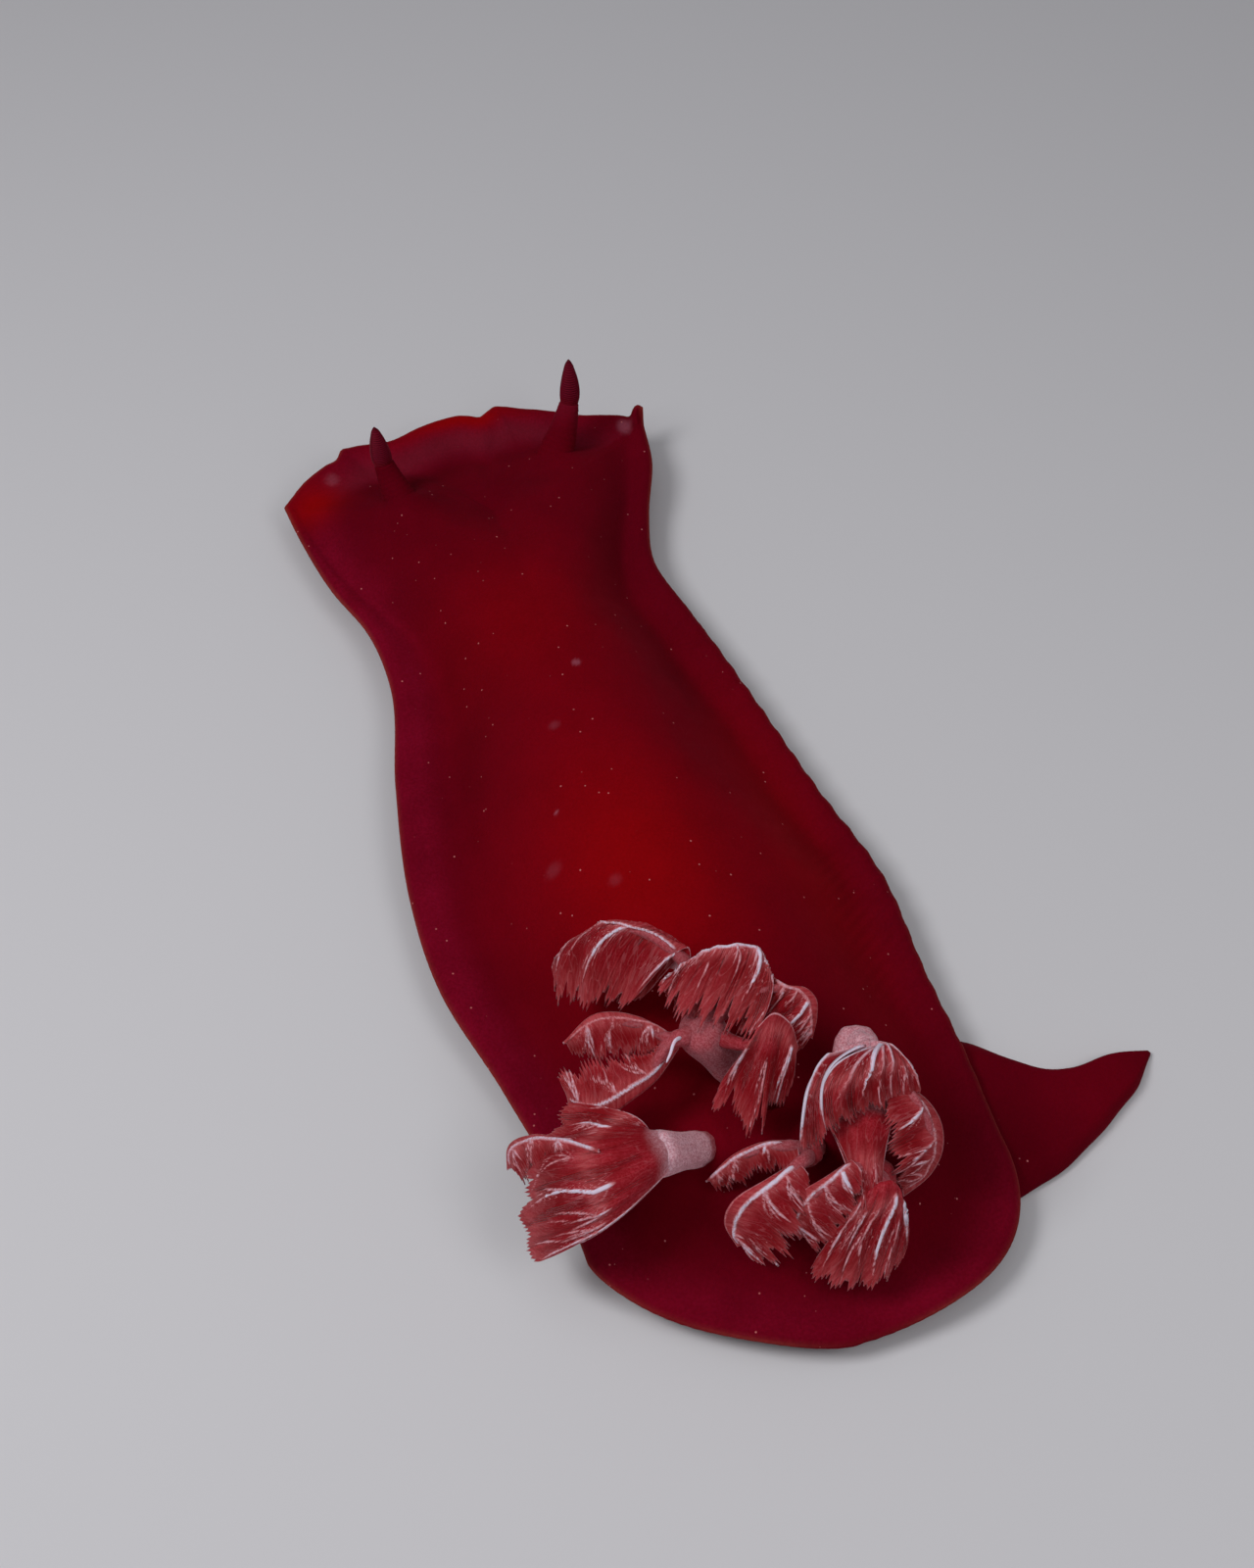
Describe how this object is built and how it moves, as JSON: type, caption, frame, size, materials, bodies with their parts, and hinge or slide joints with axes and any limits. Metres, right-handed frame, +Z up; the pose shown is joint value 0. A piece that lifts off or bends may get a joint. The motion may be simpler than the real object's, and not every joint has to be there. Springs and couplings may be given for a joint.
{
  "type": "spanish dancer nudibranch",
  "caption": "Still life-size model of a spanish dancer sea slug crawling: long red mantle with a thin spread margin, tail bent to its right, club-shaped rhinophores and branched gill plumes.",
  "frame": {"origin": "on the floor under the middle of the foot", "axes": "+Z up; the head points along -Y and the animal's left side is +X; the longest extent is along Y"},
  "size_m": [0.1541, 0.2897, 0.0578],
  "materials": {
    "back_skin": "velvety satin, bright red",
    "margin_skin": "velvety satin, dark crimson",
    "foot_skin": "satin, dark red",
    "rhinophore_stalk": "satin, red",
    "rhinophore_club": "satin, dark red",
    "gill": "moist and translucent, pink red with pale ribs"
  },
  "bodies": {
    "root": {"anal_papilla": "back_skin", "back_front": "back_skin", "back_middle": "back_skin", "back_rear": "back_skin", "foot_front": "foot_skin", "foot_middle": "foot_skin", "foot_rear": "foot_skin", "gill_plume_front": "gill", "gill_plume_front_right": "gill", "gill_plume_left": "gill", "gill_plume_rear": "gill", "gill_plume_rear_left": "gill", "gill_plume_right": "gill", "head": "margin_skin", "oral_tentacle_left": "margin_skin", "oral_tentacle_right": "margin_skin", "rhinophore_club_left": "rhinophore_club", "rhinophore_club_right": "rhinophore_club", "rhinophore_stalk_left": "rhinophore_stalk", "rhinophore_stalk_right": "rhinophore_stalk", "skirt_left_front": "margin_skin", "skirt_left_rear": "margin_skin", "skirt_rear": "margin_skin", "skirt_right_front": "margin_skin", "skirt_right_rear": "margin_skin", "tail": "foot_skin", "veil": "margin_skin"}
  },
  "joints": []
}
